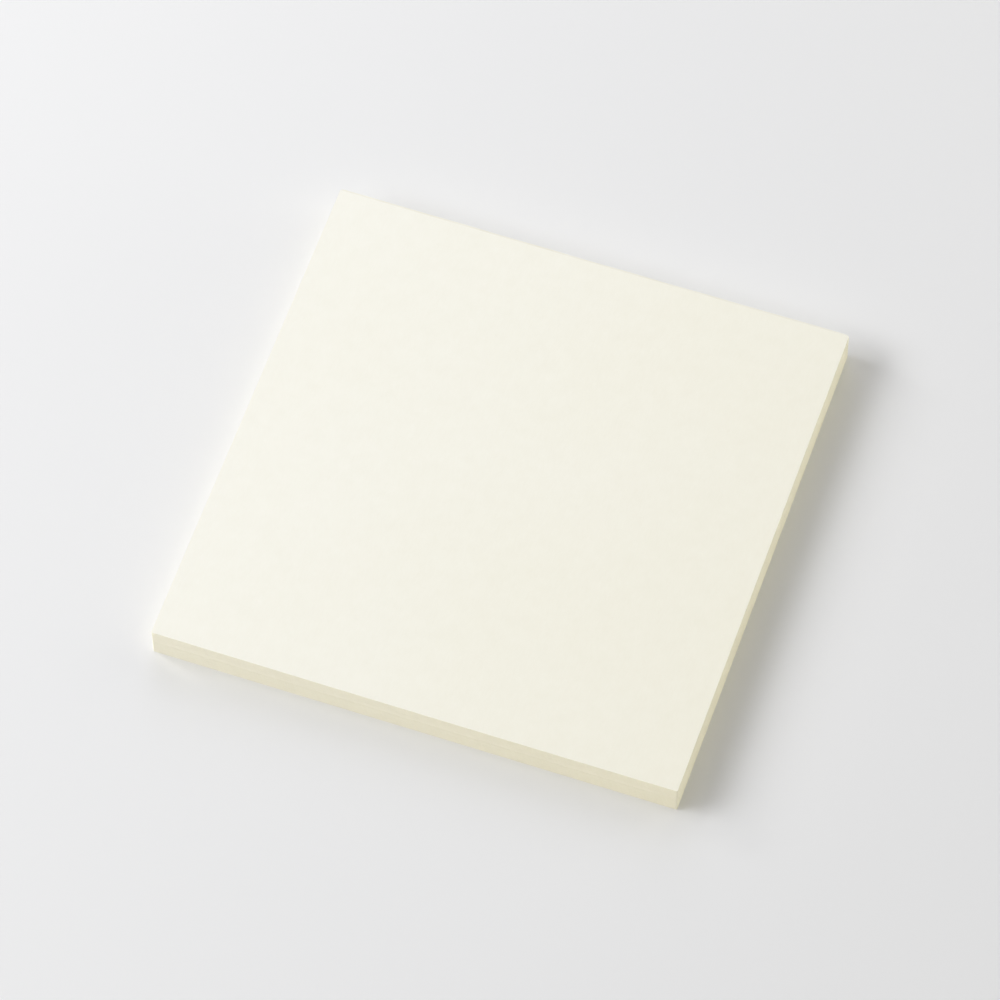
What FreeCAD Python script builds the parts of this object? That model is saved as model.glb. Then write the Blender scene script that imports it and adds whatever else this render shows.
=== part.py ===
import FreeCAD, Part
import os

import Sketcher

# A square pad of blank note paper, glued along its back edge, in millimetres.
# Frame: +X along the front edge, +Y towards the glued back edge, +Z up.
# Origin: the middle of the whole pad's underside, with the glue film counted in.

PARTS_FOLDER = "parts"
LENGTH_TOLERANCE = 1e-6

# Driving dimensions: the alias of the spreadsheet cell, its value and what it measures.
DIMENSIONS = [
    ("pad_width", 100.0, "side of a sheet along the front edge"),
    ("pad_length", 100.0, "side of a sheet from the front edge to the glued edge"),
    ("sheet_count", 70, "sheets in the pad"),
    ("sheet_thickness", 0.1, "thickness of one sheet of 80 g/m2 paper"),
    ("corner_radius", 0.3, "rounding of the pad's four upright corners"),
    ("glue_thickness", 0.25, "dried film of padding glue on the back edge"),
    ("glue_rim_radius", 0.1, "rounding round the outer face of the glue film"),
]

# Lengths that both pieces share, as expressions on the spreadsheet.
STACK_HEIGHT = "Sizes.sheet_count * Sizes.sheet_thickness"
SHEETS_SHIFT = "-Sizes.glue_thickness / 2"
BACK_EDGE = "Sizes.pad_length / 2 - Sizes.glue_thickness / 2"
GLUE_WIDTH = "Sizes.pad_width - 2 * Sizes.corner_radius"


def add_sizes(doc):
    """Put the driving dimensions in a spreadsheet, each under its alias."""
    sheet = doc.addObject("Spreadsheet::Sheet", "Sizes")
    for row, (alias, value, meaning) in enumerate(DIMENSIONS, start=1):
        sheet.set(f"A{row}", meaning)
        sheet.set(f"B{row}", str(value))
        sheet.setAlias(f"B{row}", alias)
    doc.recompute()
    return sheet


def add_body(doc, label):
    """Add an empty body. Its label is also the name of its file."""
    body = doc.addObject("PartDesign::Body", label)
    body.Label = label
    return body


def origin_plane(body, role):
    """Return the body's own origin plane that has this role."""
    return next(plane for plane in body.Origin.OriginFeatures if plane.Role == role)


def add_rectangle(body, name, role, width, height, middle):
    """Sketch a rectangle on one of the body's origin planes.

    width and height are expressions. middle names what the sketch's origin halves: the
    "diagonal", which centres the rectangle, or the "base", which stands it on the axis.
    """
    sketch = body.newObject("Sketcher::SketchObject", name)
    sketch.AttachmentSupport = (origin_plane(body, role), "")
    sketch.MapMode = "FlatFace"

    corners = [(-1, -1), (1, -1), (1, 1), (-1, 1)]
    points = [FreeCAD.Vector(x, y, 0) for x, y in corners]
    bottom, right, top, left = range(4)
    for side in (bottom, right, top, left):
        start = points[side]
        end = points[(side + 1) % 4]
        sketch.addGeometry(Part.LineSegment(start, end), False)
    for side in (bottom, right, top, left):
        sketch.addConstraint(Sketcher.Constraint("Coincident", side, 2, (side + 1) % 4, 1))
    for side in (bottom, top):
        sketch.addConstraint(Sketcher.Constraint("Horizontal", side))
    for side in (right, left):
        sketch.addConstraint(Sketcher.Constraint("Vertical", side))

    far_side = {"diagonal": right, "base": bottom}[middle]
    sketch.addConstraint(Sketcher.Constraint("Symmetric", bottom, 1, far_side, 2, -1, 1))

    for sizing, side, kind, expression in (
        ("width", bottom, "DistanceX", width),
        ("height", right, "DistanceY", height),
    ):
        index = sketch.addConstraint(Sketcher.Constraint(kind, side, 1, side, 2, 2.0))
        sketch.renameConstraint(index, sizing)
        sketch.setExpression(f"Constraints.{sizing}", expression)
    return sketch


def add_pad(body, name, sketch, length, reverse=False):
    """Pad the sketch by a length given as an expression."""
    pad = body.newObject("PartDesign::Pad", name)
    pad.Profile = sketch
    pad.Reversed = reverse
    pad.setExpression("Length", length)
    body.Document.recompute()
    return pad


def add_fillet(body, name, base, radius, wanted):
    """Round the edges of the base feature for which wanted(edge) is true."""
    edges = base.Shape.Edges
    names = [f"Edge{i}" for i, edge in enumerate(edges, start=1) if wanted(edge)]
    fillet = body.newObject("PartDesign::Fillet", name)
    fillet.Base = (base, names)
    fillet.setExpression("Radius", radius)
    body.Tip = fillet
    body.Document.recompute()
    return fillet


def add_paper_sheets(doc):
    """The sheets, one block with guillotined sides and barely worn upright corners."""
    body = add_body(doc, "paper_sheets")
    body.setExpression("Placement.Base.y", SHEETS_SHIFT)
    outline = add_rectangle(
        body, "SheetOutline", "XY_Plane", "Sizes.pad_width", "Sizes.pad_length", "diagonal"
    )
    stack = add_pad(body, "SheetStack", outline, STACK_HEIGHT)

    def is_upright(edge):
        return edge.BoundBox.XLength + edge.BoundBox.YLength < LENGTH_TOLERANCE

    add_fillet(body, "UprightCorners", stack, "Sizes.corner_radius", is_upright)
    return body


def add_glue_binding(doc):
    """The film of padding glue, as tall as the stack, on the flat of its back edge."""
    body = add_body(doc, "glue_binding")
    body.setExpression("Placement.Base.y", BACK_EDGE)
    outline = add_rectangle(body, "GlueOutline", "XZ_Plane", GLUE_WIDTH, STACK_HEIGHT, "base")
    film = add_pad(body, "GlueFilm", outline, "Sizes.glue_thickness", reverse=True)
    outer_face = film.Shape.BoundBox.YMax

    def is_on_rim(edge):
        return edge.BoundBox.YMin > outer_face - LENGTH_TOLERANCE

    add_fillet(body, "GlueRim", film, "Sizes.glue_rim_radius", is_on_rim)
    return body


def check(doc, bodies):
    """Stop if a feature failed, or if a piece isn't one sound solid."""
    for item in doc.Objects:
        if "Invalid" in item.State or "Error" in item.State:
            raise RuntimeError(f"{item.Label} failed to recompute: {item.State}")
    for body in bodies:
        shape = body.Shape
        if shape.isNull() or not shape.isValid() or len(shape.Solids) != 1:
            raise RuntimeError(f"{body.Label} isn't one sound solid")


def check_seat(sheets, film):
    """Stop if the film isn't face to face with the sheets' back edge."""
    gap = film.Shape.BoundBox.YMin - sheets.Shape.BoundBox.YMax
    if abs(gap) > LENGTH_TOLERANCE:
        raise RuntimeError(f"the glue film is {gap} mm off the sheets")


def main():
    doc = FreeCAD.newDocument("NotePad")
    add_sizes(doc)
    sheets = add_paper_sheets(doc)
    film = add_glue_binding(doc)
    doc.recompute()
    check(doc, [sheets, film])
    check_seat(sheets, film)

    os.makedirs(PARTS_FOLDER, exist_ok=True)
    for body in (sheets, film):
        body.Shape.exportStep(os.path.join(PARTS_FOLDER, f"{body.Label}.step"))
        box = body.Shape.BoundBox
        size = f"{box.XLength:.3f} x {box.YLength:.3f} x {box.ZLength:.3f} mm"
        print(f"{body.Label}: {size}, volume {body.Shape.Volume:.3f} mm3")


main()
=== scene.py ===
import math

import bpy
import numpy as np
from mathutils import Euler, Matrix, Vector


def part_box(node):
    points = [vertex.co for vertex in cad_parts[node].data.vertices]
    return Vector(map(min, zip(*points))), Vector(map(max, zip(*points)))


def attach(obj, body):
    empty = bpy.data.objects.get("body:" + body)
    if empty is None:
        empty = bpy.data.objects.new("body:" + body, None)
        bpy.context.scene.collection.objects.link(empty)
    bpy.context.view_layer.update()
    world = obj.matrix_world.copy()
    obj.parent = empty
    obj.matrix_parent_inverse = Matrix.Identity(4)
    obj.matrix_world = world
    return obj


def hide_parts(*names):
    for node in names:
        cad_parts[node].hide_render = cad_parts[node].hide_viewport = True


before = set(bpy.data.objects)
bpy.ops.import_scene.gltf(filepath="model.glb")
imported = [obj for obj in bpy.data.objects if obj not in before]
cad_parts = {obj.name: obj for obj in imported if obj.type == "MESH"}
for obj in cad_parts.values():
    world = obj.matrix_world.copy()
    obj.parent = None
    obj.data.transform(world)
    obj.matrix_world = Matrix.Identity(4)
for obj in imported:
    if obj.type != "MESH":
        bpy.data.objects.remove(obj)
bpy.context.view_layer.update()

# A square pad of blank cream note paper, glued along its back edge. Lengths are in metres.
# +X runs along the front edge, +Y towards the glued back edge, +Z up from the underside.

MM = 0.001
FULL_TURN = 2 * math.pi

# The stack of sheets
SHEETS_LOW, SHEETS_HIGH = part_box("paper_sheets")
STACK_HEIGHT = SHEETS_HIGH.z - SHEETS_LOW.z
SHEET_THICKNESS = 0.1 * MM
SHEET_COUNT = round(STACK_HEIGHT / SHEET_THICKNESS)
SIDES = 4
CORNER_RADIUS = 0.3 * MM
CORNER_STEPS = 6               # straight edges in each quarter turn of a corner
SIDE_STEPS = 92                # straight edges along each side
RIM_SHARE = 0.16               # the share of a sheet's thickness that its worn rim takes up
RINGS_PER_SHEET = 3            # its foot, and the lower and upper rim of its cut edge
CAP_RINGS = 12                 # rings of faces from a sheet's rim to its middle
SHARP_ANGLE = 35               # in degrees: an edge that turns by more than this looks sharp
SHEET_ATTRIBUTE = "sheet_number"  # the number of the sheet that a face is on

# How far the sheets stray from a perfect block
STACK_SEED = 7
LEAN = 0.02 * MM               # slow lean in and out over many sheets
LEAN_WAVES = [(0.7, 1.0), (1.9, 0.35), (4.3, 0.12)]  # turns over the height, and strength
SLIDE = 0.005 * MM             # one sheet against its neighbours
MOST_OUT = 2 * (LEAN + SLIDE)  # an edge that leans out by this, or by more, is on the CAD outline
EDGE_WAVE = 0.005 * MM         # a cut edge against a straight line
EDGE_WAVE_COUNT = 7
FEWEST_TURNS = 2               # of such a wave on its way round the pad
SHORTEST_WAVE = 5 * MM
CREVICE_DEPTH = 0.025 * MM     # how deep the gap under a sheet goes at the cut edge
CREVICE_SPREAD = (0.5, 1.5)    # from the shallowest gap to the deepest, times that
PARTING_DEPTH = 0.055 * MM     # and where a lift of sheets has parted from the lift below it
SHEETS_PER_LIFT = 12
LIFT_SPREAD = (0.6, 1.4)       # from the thinnest lift to the thickest, times that
CURL = 0.16 * MM               # how far the top sheet's two ends rise above its middle
CURL_POWER = 2.0               # lower sheets rise less, by this power of their height

# The map through which an export bakes the paper's colours to an image
BAKE_MAP = "OFBake"
BAKE_BORDER = 0.002            # left empty round each part of the map, as a share of its width
BLOCK_STRIP = 0.17             # how high each of the block's four cut sides is on its map
BLOCK_LOWER_SHARE = 0.88       # the width its lower face gets, and its hidden upper face the rest
TOP_STRIP = 0.02               # the same for the top sheet, whose lower face is the hidden one
TOP_LOWER_SHARE = 0.12

# The film of dried glue
GLUE_LOW, GLUE_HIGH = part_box("glue_binding")
GLUE_COLUMNS = 120             # straight edges along the film
GLUE_ROWS_PER_SHEET = 3        # a groove's floor and its two rims
GLUE_RIM = 0.1 * MM            # rounding round the film's outer face
GLUE_SOAK = 0.08 * MM          # how far it has soaked in between the sheets
GLUE_SEED = 21
BRUSH_STREAK = 0.05 * MM       # how much the brushed film's thickness varies
STREAK_COUNT = 26
STREAK_TURNS_ALONG = (0.5, 9)  # the fewest and the most waves of a streak over the film's length
STREAK_TURNS_UP = (1, 12)      # and over its height
GROOVE_DEPTH = 0.016 * MM      # how far the film sinks in at the gaps between the sheets
GROOVE_SPREAD = (0.3, 1)       # from the shallowest groove to the deepest, times that
GROOVE_FADE = 0.35             # how much a groove comes and goes along its length
GROOVE_TURNS = (0.5, 4)        # and how often
GROOVE_HALF = 0.3              # half a groove's width, as a share of a sheet's thickness


# ------------------------------------------------------------------ the stack's outline

def outline():
    """The pad seen from above: points, outward normals and the distance travelled to each."""
    low, high, radius = SHEETS_LOW, SHEETS_HIGH, CORNER_RADIUS
    corners = [
        (high.x - radius, low.y + radius, -90),
        (high.x - radius, high.y - radius, 0),
        (low.x + radius, high.y - radius, 90),
        (low.x + radius, low.y + radius, 180),
    ]
    points = []
    normals = []
    for index, (x, y, first_angle) in enumerate(corners):
        for step in range(CORNER_STEPS + 1):
            angle = math.radians(first_angle + 90 * step / CORNER_STEPS)
            normals.append((math.cos(angle), math.sin(angle)))
            points.append((x + radius * normals[-1][0], y + radius * normals[-1][1]))
        next_x, next_y, _ = corners[(index + 1) % SIDES]
        begin = np.array(points[-1])
        end = np.array((next_x, next_y)) + radius * np.array(normals[-1])
        for step in range(1, SIDE_STEPS):
            points.append(tuple(begin + (end - begin) * step / SIDE_STEPS))
            normals.append(normals[-1])
    points = np.array(points)
    gaps = np.linalg.norm(np.roll(points, -1, axis=0) - points, axis=1)
    return points, np.array(normals), np.concatenate([[0], np.cumsum(gaps)])


def random_wave(rng, travel):
    """A random closed wave of about unit size along the outline."""
    length = travel[-1]
    value = np.zeros(len(travel) - 1)
    for _ in range(EDGE_WAVE_COUNT):
        turns = rng.integers(FEWEST_TURNS, int(length / SHORTEST_WAVE))
        phase = rng.uniform(0, FULL_TURN)
        value += np.sin(FULL_TURN * turns * travel[:-1] / length + phase)
    return value / math.sqrt(EDGE_WAVE_COUNT)


def sheet_slides(rng):
    """Where each sheet lies in X and Y: a slow lean over many sheets and a random part."""
    number = np.arange(SHEET_COUNT)[:, None]
    lean = np.zeros((SHEET_COUNT, 2))
    for turns, strength in LEAN_WAVES:
        phase = rng.uniform(0, FULL_TURN, 2)
        lean += strength * np.sin(FULL_TURN * turns * number / SHEET_COUNT + phase)
    return LEAN * lean + rng.normal(0, SLIDE, (SHEET_COUNT, 2))


def sheets_in_lift(rng):
    """How many sheets one handful of the stack holds."""
    return int(rng.uniform(*LIFT_SPREAD) * SHEETS_PER_LIFT)


def crevice_depths(rng):
    """How deep the gap under each sheet is. The lifts that the stack was counted from show."""
    depths = CREVICE_DEPTH * rng.uniform(*CREVICE_SPREAD, SHEET_COUNT)
    number = sheets_in_lift(rng)
    while number < SHEET_COUNT - 1:
        depths[number] = PARTING_DEPTH
        number += sheets_in_lift(rng)
    return depths


def curl_lift(x, height):
    """How far the stack rises here, or sinks: not at all at its foot, most in its top sheet."""
    half = (SHEETS_HIGH.x - SHEETS_LOW.x) / 2
    share = np.clip(height / STACK_HEIGHT, 0, 1) ** CURL_POWER
    return CURL * share * ((x / half) ** 2 - 0.5)


# ------------------------------------------------------------------ meshes

def ring_at(flat, height):
    """A ring of points at this height, lifted by the curl."""
    return np.column_stack([flat, height + curl_lift(flat[:, 0], height)])


def cap_rings(flat, height):
    """Rings that close in from a sheet's rim towards its middle."""
    middle = flat.mean(axis=0)
    shares = [1 - number / CAP_RINGS for number in range(1, CAP_RINGS)]
    return [ring_at(middle + (flat - middle) * share, height) for share in shares]


def sheet_rings(first, last):
    """The rings up the sides of a run of sheets, and the flat outlines of its foot and its top."""
    rng = np.random.default_rng(STACK_SEED)
    points, normals, travel = outline()
    slides = sheet_slides(rng)
    depths = crevice_depths(rng)
    waves = [EDGE_WAVE * random_wave(rng, travel) for _ in range(SHEET_COUNT)]
    rim = RIM_SHARE * SHEET_THICKNESS
    rings = []
    for number in range(first, last + 1):
        out = np.sum(normals * slides[number], axis=1) + waves[number]
        flat = points + normals * (np.minimum(out, MOST_OUT) - MOST_OUT)[:, None]
        inner = flat - depths[number] * normals
        if number == first:
            foot = inner
        base = number * SHEET_THICKNESS
        rings.append(ring_at(inner, base))
        rings.append(ring_at(flat, base + rim))
        rings.append(ring_at(flat, base + SHEET_THICKNESS - rim))
    top = flat - rim * normals
    rings.append(ring_at(top, base + SHEET_THICKNESS))
    return rings, foot, top


def new_mesh(name, points, faces):
    """A mesh from an array of points and a list of faces."""
    mesh = bpy.data.meshes.new(name)
    mesh.from_pydata(points.tolist(), [], faces)
    mesh.validate()
    return mesh


def mesh_from_rings(name, rings):
    """A closed mesh from rings of equal length. Its first and last rings are filled in."""
    around = len(rings[0])
    grid = np.arange(len(rings) * around).reshape(len(rings), around)
    turned = np.roll(grid, -1, axis=1)
    quads = np.stack([grid[:-1], turned[:-1], turned[1:], grid[1:]], axis=-1)
    faces = quads.reshape(-1, 4).tolist()
    faces.append(grid[0][::-1].tolist())
    faces.append(grid[-1].tolist())
    return new_mesh(name, np.concatenate(rings), faces)


def finish_piece(name, mesh, materials, node):
    """Link a mesh as a piece that stands for a CAD node."""
    piece = bpy.data.objects.new(name, mesh)
    bpy.context.scene.collection.objects.link(piece)
    for material in materials:
        mesh.materials.append(material)
    mesh.shade_smooth()
    mesh.set_sharp_from_angle(angle=math.radians(SHARP_ANGLE))
    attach(piece, "root")
    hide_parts(node)
    return piece


def in_part(low, high, share):
    """Places in a part of the bake map, from 0-to-1 shares of its width and height."""
    low = np.array(low) + BAKE_BORDER
    high = np.array(high) - BAKE_BORDER
    return low + (high - low) * share


def strip_places(sides, strip_height):
    """The bake map's place for each corner of the sides' quads: one strip for each side."""
    _, _, travel = outline()
    each = (len(travel) - 1) // SIDES
    column = np.arange(SIDES * each)
    side = column // each
    begin = travel[side * each]
    length = travel[each]
    left = (travel[column] - begin) / length
    right = (travel[column + 1] - begin) / length
    heights = np.array([ring[0, 2] for ring in sides])
    share = (heights - heights[0]) / (heights[-1] - heights[0])
    across = np.stack([left, right, right, left], axis=-1)[None]
    upward = np.stack([share[:-1], share[:-1], share[1:], share[1:]], axis=-1)[:, None]
    across, upward, side = np.broadcast_arrays(across, upward, side[None, :, None])
    places = in_part((0, 0), (1, strip_height), np.column_stack([across.ravel(), upward.ravel()]))
    return places + np.outer(side.ravel(), (0, strip_height))


def add_bake_map(mesh, is_side, is_upper, strips, strip_height, lower_share):
    """The bake map: the four sides' strips, and above them the lower face beside the upper."""
    sizes = np.zeros(len(mesh.polygons), np.int32)
    mesh.polygons.foreach_get("loop_total", sizes)
    corners = np.zeros(len(mesh.loops), np.int32)
    mesh.loops.foreach_get("vertex_index", corners)
    points = np.zeros(3 * len(mesh.vertices), np.float32)
    mesh.vertices.foreach_get("co", points)
    flat = points.reshape(-1, 3)[corners, :2]
    share = (flat - np.array(SHEETS_LOW.xy)) / np.array((SHEETS_HIGH - SHEETS_LOW).xy)
    above_strips = SIDES * strip_height
    lower = in_part((0, above_strips), (lower_share, 1), share)
    upper = in_part((lower_share, above_strips), (1, 1), share)
    places = np.where(np.repeat(is_upper, sizes)[:, None], upper, lower)
    places[np.repeat(is_side, sizes)] = strips
    layer = mesh.uv_layers.new(name=BAKE_MAP)
    layer.uv.foreach_set("vector", places.astype(np.float32).ravel())


def build_sheets(name, first, last, materials, strip_height, lower_share):
    """A run of sheets as one piece: cut sides, and a sheet's face above and below."""
    sides, foot, top = sheet_rings(first, last)
    under = cap_rings(foot, first * SHEET_THICKNESS)[::-1]
    over = cap_rings(top, (last + 1) * SHEET_THICKNESS)
    mesh = mesh_from_rings(name, under + sides + over)
    around = len(top)
    begin = len(under) * around
    end = begin + (len(sides) - 1) * around
    is_side = np.zeros(len(mesh.polygons), bool)
    is_side[begin:end] = True
    is_upper = np.zeros(len(mesh.polygons), bool)
    is_upper[end:-2] = True
    is_upper[-1] = True
    mesh.polygons.foreach_set("material_index", is_side.astype(np.int32))
    rows = first + np.arange(len(sides) - 1) // RINGS_PER_SHEET
    numbers = np.full(len(mesh.polygons), last, np.float32)
    numbers[begin:end] = np.repeat(rows, around)
    attribute = mesh.attributes.new(SHEET_ATTRIBUTE, "FLOAT", "FACE")
    attribute.data.foreach_set("value", numbers)
    strips = strip_places(sides, strip_height)
    add_bake_map(mesh, is_side, is_upper, strips, strip_height, lower_share)
    return finish_piece(name, mesh, materials, "paper_sheets")


def brush_streaks(rng, across, upward):
    """Long streaks along the film, of about unit size, as a brush leaves them."""
    value = np.zeros((len(upward), len(across)))
    for _ in range(STREAK_COUNT):
        along = rng.uniform(*STREAK_TURNS_ALONG)
        up = rng.uniform(*STREAK_TURNS_UP)
        phase = rng.uniform(0, FULL_TURN)
        value += np.sin(FULL_TURN * (along * across[None, :] + up * upward[:, None]) + phase)
    return value / math.sqrt(STREAK_COUNT)


def glue_rows():
    """The heights of the film's rows, as shares of its own: each groove has its floor and rims."""
    places = np.array([0, GROOVE_HALF, 1 - GROOVE_HALF])
    rows = (np.arange(SHEET_COUNT)[:, None] + places).ravel()
    return np.append(rows, SHEET_COUNT) / SHEET_COUNT


def grooves(rng, across, upward):
    """How far the film sinks in at each point: only at the gaps between sheets, more at some."""
    count = SHEET_COUNT + 1
    own = rng.uniform(*GROOVE_SPREAD, (count, 1))
    turns = rng.uniform(*GROOVE_TURNS, (count, 1))
    phase = rng.uniform(0, FULL_TURN, (count, 1))
    fading = 1 - GROOVE_FADE + GROOVE_FADE * np.sin(FULL_TURN * turns * across[None, :] + phase)
    depths = np.zeros((len(upward), len(across)))
    depths[::GLUE_ROWS_PER_SHEET] = GROOVE_DEPTH * own * fading
    return depths


def build_glue_film(material):
    """The film of padding glue, brushed over the back edge and cut flush with the pad."""
    rng = np.random.default_rng(GLUE_SEED)
    across = np.linspace(0, 1, GLUE_COLUMNS + 1)
    upward = glue_rows()
    x, z = np.meshgrid(GLUE_LOW.x + (GLUE_HIGH.x - GLUE_LOW.x) * across, STACK_HEIGHT * upward)
    to_edge = np.minimum.reduce([x - GLUE_LOW.x, GLUE_HIGH.x - x, z, STACK_HEIGHT - z])
    fall = 1 - np.clip(to_edge / GLUE_RIM, 0, 1)
    rounding = GLUE_RIM * (1 - np.sqrt(1 - fall ** 2))
    outer = GLUE_HIGH.y - BRUSH_STREAK / 2 * (1 - brush_streaks(rng, across, upward)) - rounding
    outer -= grooves(rng, across, upward)
    inner = np.full_like(x, GLUE_LOW.y - GLUE_SOAK)
    lifted = z + curl_lift(x, z)
    outer_points = np.stack([x, outer, lifted], axis=-1).reshape(-1, 3)
    inner_points = np.stack([x, inner, lifted], axis=-1).reshape(-1, 3)

    grid = np.arange(x.size).reshape(x.shape)
    quads = np.stack([grid[:-1, :-1], grid[1:, :-1], grid[1:, 1:], grid[:-1, 1:]], axis=-1)
    quads = quads.reshape(-1, 4)
    rim = np.concatenate([grid[0, :-1], grid[:-1, -1], grid[-1, :0:-1], grid[:0:-1, 0]])
    walls = np.stack([rim, np.roll(rim, -1), np.roll(rim, -1) + x.size, rim + x.size], axis=-1)
    faces = np.concatenate([quads, quads[:, ::-1] + x.size, walls])
    mesh = new_mesh("glue_film", np.concatenate([outer_points, inner_points]), faces.tolist())
    return finish_piece("glue_film", mesh, [material], "glue_binding")


# ------------------------------------------------------------------ node helpers

NOISE_ROUGHNESS = 0.55


def set_input(tree, socket, value):
    """Give a node's input a value or another node's output."""
    if isinstance(value, bpy.types.NodeSocket):
        tree.links.new(value, socket)
    else:
        socket.default_value = value


def add_node(tree, kind, inputs=None, **settings):
    """A new node. Each of its inputs is given a value or another node's output."""
    node = tree.nodes.new(kind)
    for name, value in settings.items():
        setattr(node, name, value)
    for name, value in (inputs or {}).items():
        set_input(tree, node.inputs[name], value)
    return node


def math_node(tree, operation, *values, clamp=False):
    """The result of one sum on these values."""
    inputs = dict(enumerate(values))
    node = add_node(tree, "ShaderNodeMath", inputs, operation=operation, use_clamp=clamp)
    return node.outputs["Value"]


def place_in_mm(tree, stretch=(1, 1, 1)):
    """The place on the piece in millimetres, each axis divided by its stretch."""
    place = add_node(tree, "ShaderNodeTexCoord").outputs["Object"]
    factor = [1 / (MM * value) for value in stretch]
    node = add_node(tree, "ShaderNodeVectorMath", {0: place, 1: factor}, operation="MULTIPLY")
    return node.outputs["Vector"]


def noise(tree, place, size, detail=2.0):
    """Soft noise from 0 to 1, with an average of a half, in cells of about this size in mm."""
    inputs = {"Vector": place, "Scale": 1 / size, "Detail": detail, "Roughness": NOISE_ROUGHNESS}
    return add_node(tree, "ShaderNodeTexNoise", inputs).outputs["Fac"]


def weighted_sum(tree, terms):
    """A half, plus each 0-to-1 term's distance from its own middle times its weight."""
    total = 0.5
    for term, weight in terms:
        offset = math_node(tree, "SUBTRACT", term, 0.5)
        total = math_node(tree, "MULTIPLY_ADD", offset, weight, total)
    return total


def value_between(tree, factor, low, high):
    """A number from low to high, by a factor from 0 to 1."""
    return math_node(tree, "MULTIPLY_ADD", factor, high - low, low)


def mix_colors(tree, factor, low, high, blend_type="MIX"):
    """A colour from low to high, or from low to its blend with high, by a factor from 0 to 1."""
    node = add_node(tree, "ShaderNodeMix", {"Factor": factor}, data_type="RGBA",
                    blend_type=blend_type)
    low_input, high_input = [socket for socket in node.inputs if socket.type == "RGBA"]
    set_input(tree, low_input, low)
    set_input(tree, high_input, high)
    return next(socket for socket in node.outputs if socket.type == "RGBA")


def mix_shaders(tree, share, first, second):
    """The first shader where the share is 0, and the second where it is 1."""
    node = add_node(tree, "ShaderNodeMixShader", {0: share, 1: first, 2: second})
    return node.outputs["Shader"]


def new_material(name, specular):
    """A material with its own shader, its node tree and the shader."""
    material = bpy.data.materials.new(name)
    material.use_nodes = True
    shader = material.node_tree.nodes["Principled BSDF"]
    shader.inputs["Specular IOR Level"].default_value = specular
    return material, material.node_tree, shader


def set_surface(tree, shader, color, roughness, height, relief):
    """Join a colour, a roughness and a relief of this full height to the shader."""
    tree.links.new(color, shader.inputs["Base Color"])
    tree.links.new(roughness, shader.inputs["Roughness"])
    inputs = {"Height": height, "Distance": relief, "Strength": 1.0}
    bump = add_node(tree, "ShaderNodeBump", inputs)
    tree.links.new(bump.outputs["Normal"], shader.inputs["Normal"])


# ------------------------------------------------------------------ materials

PAPER_PALE = (0.933, 0.924, 0.857, 1)
PAPER_WARM = (0.883, 0.868, 0.783, 1)
PAPER_SPECULAR = 0.12
PAPER_RELIEF = 0.006 * MM
# Darker and yellower than a sheet's face: partly the cut paper's own colour, partly painted shade
# between the sheets
EDGE_PALE = (0.754, 0.731, 0.636, 1)
EDGE_WARM = (0.701, 0.672, 0.538, 1)
EDGE_RELIEF = 0.012 * MM
TONE_DRIFT = 0.05              # a sheet's tone changes as much over a mm as over this many sheets
KNIFE_SLANT = 0.25             # how far a knife mark drifts along the edge, to its height
KNIFE_DRIFT = 0.06             # how soon it changes on its way up, to how soon along the edge
GLUE_MILKY = (0.870, 0.855, 0.775, 1)
GLUE_CLEAR = (0.790, 0.760, 0.630, 1)
GLUE_SPECULAR = 0.35
GLUE_RELIEF = 0.010 * MM

# The tint where the paper's tone drifts most, in random large patches and as painted shade, and how
# the painted
# shade grows across the pad for each mm: yellower towards its right front corner, away from the key
# lamp
PATCH_AND_SHADE_TINT = (1.0, 0.985, 0.920, 1)
PAINTED_SHADE_SLOPE = (0.0060, -0.0008, 0.0)


def tint_in_patches_and_painted_shade(tree, color):
    """The colour, tinted in random large patches, and yellowed towards the pad's right front corner
    as painted shade.
    """
    place = place_in_mm(tree)
    # painted shade: a steady slope that yellows the paper away from the key lamp, so the lit left
    # end stays paler
    painted_gradient = add_node(tree, "ShaderNodeVectorMath", {0: place, 1: PAINTED_SHADE_SLOPE},
                     operation="DOT_PRODUCT").outputs["Value"]
    share = weighted_sum(tree, [(noise(tree, place, size=40), 0.3)])
    share = math_node(tree, "ADD", share, painted_gradient, clamp=True)
    return mix_colors(tree, share, color, PATCH_AND_SHADE_TINT, blend_type="MULTIPLY")


def paper_material():
    """A blank sheet's face: cloudy formation, fine fibres along the grain and a slight tooth."""
    material, tree, shader = new_material("sheet_face", PAPER_SPECULAR)
    place = place_in_mm(tree)
    along_grain = place_in_mm(tree, stretch=(1, 5, 1))
    clouds = noise(tree, place, size=3.5, detail=3)
    drift = noise(tree, place, size=45)
    fibres = noise(tree, along_grain, size=0.35, detail=3)
    tooth = noise(tree, place, size=0.22)
    tone = weighted_sum(tree, [(clouds, 0.6), (drift, 0.3), (fibres, 0.6), (tooth, 0.3)])
    # tinted in random patches, with painted shade yellowing it towards the right front corner
    color = tint_in_patches_and_painted_shade(tree, mix_colors(tree, tone, PAPER_PALE, PAPER_WARM))
    gloss = weighted_sum(tree, [(clouds, 0.6), (fibres, 0.6)])
    roughness = value_between(tree, gloss, low=0.8, high=0.95)
    height = weighted_sum(tree, [(tooth, 0.8), (fibres, 0.6), (clouds, 0.5)])
    set_surface(tree, shader, color, roughness, height, PAPER_RELIEF)
    return material


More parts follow.
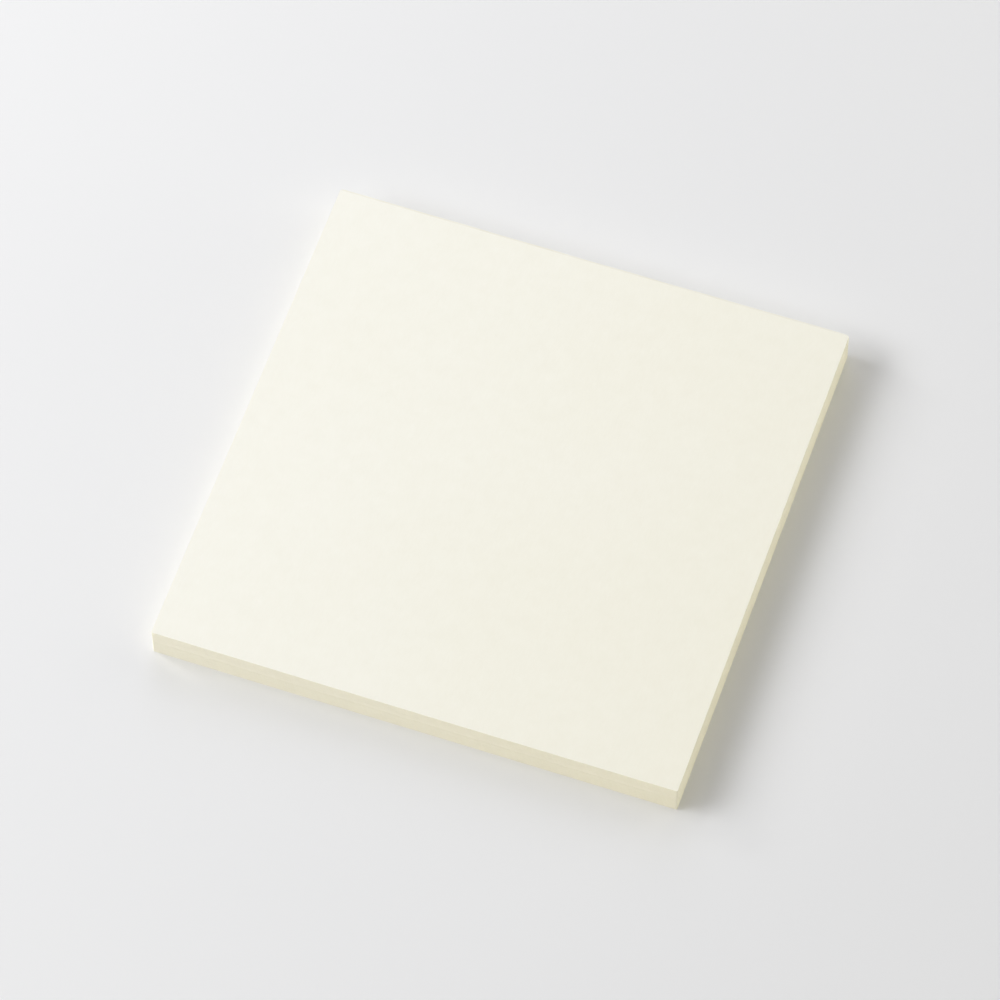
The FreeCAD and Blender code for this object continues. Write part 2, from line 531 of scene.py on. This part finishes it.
def edge_material():
    """Cut edges: each sheet has its own tone, with knife marks across them and torn fibres."""
    material, tree, shader = new_material("cut_edge", PAPER_SPECULAR)
    place = place_in_mm(tree)
    split = add_node(tree, "ShaderNodeSeparateXYZ", {"Vector": place})
    along = math_node(tree, "SUBTRACT", split.outputs["X"], split.outputs["Y"])
    height = split.outputs["Z"]

    number = add_node(tree, "ShaderNodeAttribute", attribute_name=SHEET_ATTRIBUTE).outputs["Fac"]
    own = add_node(tree, "ShaderNodeTexWhiteNoise", {"W": number},
                   noise_dimensions="1D").outputs["Value"]
    drift = math_node(tree, "MULTIPLY", along, TONE_DRIFT)
    number_place = add_node(tree, "ShaderNodeCombineXYZ", {"X": drift, "Y": number})
    lifts = noise(tree, number_place.outputs["Vector"], size=9)
    streaks = noise(tree, number_place.outputs["Vector"], size=1.6)
    slanted = math_node(tree, "MULTIPLY_ADD", height, KNIFE_SLANT, along)
    upward = math_node(tree, "MULTIPLY", height, KNIFE_DRIFT)
    knife_place = add_node(tree, "ShaderNodeCombineXYZ", {"X": slanted, "Y": upward})
    knife = noise(tree, knife_place.outputs["Vector"], size=0.45, detail=3)
    fibres = noise(tree, place_in_mm(tree, stretch=(2.5, 2.5, 1)), size=0.06, detail=2)

    tone = weighted_sum(tree, [(own, 0.22), (lifts, 0.25), (streaks, 0.2), (knife, 0.5),
                               (fibres, 0.35)])
    # the edge colours hold painted shade between the sheets, and the tint adds painted shade
    # towards the right front corner
    color = tint_in_patches_and_painted_shade(tree, mix_colors(tree, tone, EDGE_PALE, EDGE_WARM))
    gloss = weighted_sum(tree, [(knife, 1.0), (own, 0.3)])
    roughness = value_between(tree, gloss, low=0.78, high=0.98)
    relief = weighted_sum(tree, [(fibres, 0.6), (knife, 0.8), (streaks, 0.3)])
    set_surface(tree, shader, color, roughness, relief, EDGE_RELIEF)
    return material


def glue_material():
    """Dried padding glue: milky where it lies thick, clearer where the brush left it thin."""
    material, tree, shader = new_material("dried_glue", GLUE_SPECULAR)
    streaks = noise(tree, place_in_mm(tree, stretch=(14, 1, 1)), size=0.55, detail=3)
    pools = noise(tree, place_in_mm(tree, stretch=(2, 1, 1)), size=3, detail=2)
    sheets = noise(tree, place_in_mm(tree, stretch=(30, 1, 1)), size=0.11, detail=1)
    pimples = noise(tree, place_in_mm(tree), size=0.4, detail=2)
    tone = weighted_sum(tree, [(streaks, 0.9), (pools, 0.7), (sheets, 0.35)])
    color = mix_colors(tree, tone, GLUE_MILKY, GLUE_CLEAR)
    gloss = weighted_sum(tree, [(pools, 1.2), (streaks, 0.8)])
    roughness = value_between(tree, gloss, low=0.38, high=0.60)
    height = weighted_sum(tree, [(streaks, 1.0), (pimples, 0.3), (sheets, 0.2)])
    set_surface(tree, shader, color, roughness, height, GLUE_RELIEF)
    return material


# ------------------------------------------------------------------ surroundings

WHITE = (1, 1, 1, 1)
FLOOR_COLOR = (0.812, 0.812, 0.812, 1)
FLOOR_ROUGHNESS = 0.95
FLOOR_HALF = 12.0
BACKDROP = 0.80                # the far floor's and the backdrop's brightness as the camera sees it
FADE_FROM = 0.14               # how far from the origin the floor starts to fade to the backdrop
FADE_TO = 0.26

FRONT_AZIMUTH = -90
VIEW_AZIMUTH = 20.65           # the camera stands this far to the right of the front
VIEW_ELEVATION = 60.02
VIEW_ROLL = -1.60
VIEW_DISTANCE = 1178.5 * MM
VIEW_TARGET = Vector((0.45 * MM, -3.83 * MM, 7.0 * MM))
VIEW_NEAREST = 10 * MM         # the camera sees nothing nearer than this
LENS = 233.1                   # in mm, as the sensor's width is
SENSOR = 36.0


def direction(azimuth, elevation):
    """The way to a place at this azimuth, counted from +X towards +Y, and this elevation."""
    flat = math.cos(math.radians(elevation))
    turn = math.radians(azimuth)
    return Vector((math.cos(turn) * flat, math.sin(turn) * flat, math.sin(math.radians(elevation))))


def add_camera():
    """The camera, where the photograph was taken from."""
    camera = bpy.data.objects.new("camera", bpy.data.cameras.new("camera"))
    bpy.context.scene.collection.objects.link(camera)
    away = direction(FRONT_AZIMUTH + VIEW_AZIMUTH, VIEW_ELEVATION)
    camera.location = VIEW_TARGET + VIEW_DISTANCE * away
    facing = away.to_track_quat("Z", "Y")
    camera.rotation_mode = "QUATERNION"
    camera.rotation_quaternion = facing @ Euler((0, 0, math.radians(VIEW_ROLL))).to_quaternion()
    camera.data.lens = LENS
    camera.data.sensor_width = SENSOR
    camera.data.clip_start = VIEW_NEAREST
    camera.data.clip_end = 3 * FLOOR_HALF
    bpy.context.scene.camera = camera


def seen_directly(tree):
    """1 for what the camera sees itself, in a reflection or through glass, and 0 for light."""
    path = add_node(tree, "ShaderNodeLightPath")
    seen = math_node(tree, "MAXIMUM", path.outputs["Is Camera Ray"], path.outputs["Is Glossy Ray"])
    return math_node(tree, "MAXIMUM", seen, path.outputs["Is Transmission Ray"])


def floor_material():
    """A plain pale floor, which blends into the backdrop far away from the pad."""
    material, tree, shader = new_material("floor", specular=0.0)
    shader.inputs["Base Color"].default_value = FLOOR_COLOR
    shader.inputs["Roughness"].default_value = FLOOR_ROUGHNESS
    place = add_node(tree, "ShaderNodeTexCoord").outputs["Object"]
    away = add_node(tree, "ShaderNodeVectorMath", {0: place}, operation="LENGTH")
    fade = add_node(tree, "ShaderNodeMapRange",
                    {"Value": away.outputs["Value"], "From Min": FADE_FROM, "From Max": FADE_TO},
                    interpolation_type="SMOOTHSTEP")
    share = math_node(tree, "MULTIPLY", fade.outputs["Result"], seen_directly(tree))
    glow = add_node(tree, "ShaderNodeEmission", {"Strength": BACKDROP})
    mixed = mix_shaders(tree, share, shader.outputs["BSDF"], glow.outputs["Emission"])
    tree.links.new(mixed, tree.nodes["Material Output"].inputs["Surface"])
    return material


def add_floor():
    """The floor that the pad lies on, which isn't part of it."""
    half = FLOOR_HALF
    mesh = bpy.data.meshes.new("floor")
    corners = [(-half, -half, 0), (half, -half, 0), (half, half, 0), (-half, half, 0)]
    mesh.from_pydata(corners, [], [(0, 1, 2, 3)])
    mesh.materials.append(floor_material())
    floor = bpy.data.objects.new("floor", mesh)
    bpy.context.scene.collection.objects.link(floor)


def add_lamp(name, azimuth, elevation, distance, width, height, light, tint=(1, 1, 1)):
    """An oval soft lamp. Its light is what it gives to a surface that faces it at the pad."""
    lamp = bpy.data.objects.new(name, bpy.data.lights.new(name, "AREA"))
    bpy.context.scene.collection.objects.link(lamp)
    lamp.data.shape = "ELLIPSE"
    lamp.data.size = width
    lamp.data.size_y = height
    lamp.data.energy = light * math.pi ** 2 * distance ** 2
    lamp.data.color = tint
    away = direction(azimuth, elevation)
    lamp.location = distance * away
    lamp.rotation_mode = "QUATERNION"
    lamp.rotation_quaternion = away.to_track_quat("Z", "Y")
    lamp.visible_camera = False


def add_lamps():
    """Soft studio light: most of it from the left, and low strips for the two sides that show."""
    add_lamp("key_lamp", azimuth=198, elevation=36, distance=1.6, width=1.09, height=0.69,
             light=0.630, tint=(0.995, 1.0, 1.01))
    add_lamp("low_key_lamp", azimuth=170, elevation=24, distance=0.8, width=0.16, height=0.16,
             light=0.149)
    add_lamp("high_key_lamp", azimuth=170, elevation=56, distance=0.8, width=0.16, height=0.16,
             light=0.094)
    add_lamp("left_lamp", azimuth=236, elevation=40, distance=0.8, width=0.30, height=0.30,
             light=0.081)
    add_lamp("back_lamp", azimuth=110, elevation=35, distance=1.0, width=0.80, height=0.80,
             light=0.236, tint=(0.99, 1.0, 1.11))
    add_lamp("right_lamp", azimuth=40, elevation=30, distance=1.0, width=0.80, height=0.80,
             light=0.189, tint=(1.0, 0.97, 0.85))
    add_lamp("low_front_lamp", azimuth=262, elevation=2, distance=0.8, width=1.00, height=0.05,
             light=0.408, tint=(1.02, 1.0, 0.98))
    add_lamp("low_right_lamp", azimuth=20, elevation=2, distance=0.8, width=1.00, height=0.05,
             light=0.566, tint=(1.0, 1.0, 0.94))


def add_world(strength):
    """Even light from all round. The camera sees the backdrop's own brightness instead."""
    world = bpy.data.worlds.new("world")
    bpy.context.scene.world = world
    world.use_nodes = True
    tree = world.node_tree
    light = tree.nodes["Background"]
    light.inputs["Color"].default_value = WHITE
    light.inputs["Strength"].default_value = strength
    backdrop = add_node(tree, "ShaderNodeBackground", {"Color": WHITE, "Strength": BACKDROP})
    mixed = mix_shaders(tree, seen_directly(tree), light.outputs["Background"],
                        backdrop.outputs["Background"])
    tree.links.new(mixed, tree.nodes["World Output"].inputs["Surface"])


def main():
    paper = [paper_material(), edge_material()]
    last = SHEET_COUNT - 1
    build_sheets("sheet_block", 0, last - 1, paper, BLOCK_STRIP, BLOCK_LOWER_SHARE)
    build_sheets("top_sheet", last, last, paper, TOP_STRIP, TOP_LOWER_SHARE)
    build_glue_film(glue_material())
    add_floor()
    add_camera()
    add_world(strength=0.244)
    add_lamps()
    bpy.context.scene.view_settings.view_transform = "Standard"


main()
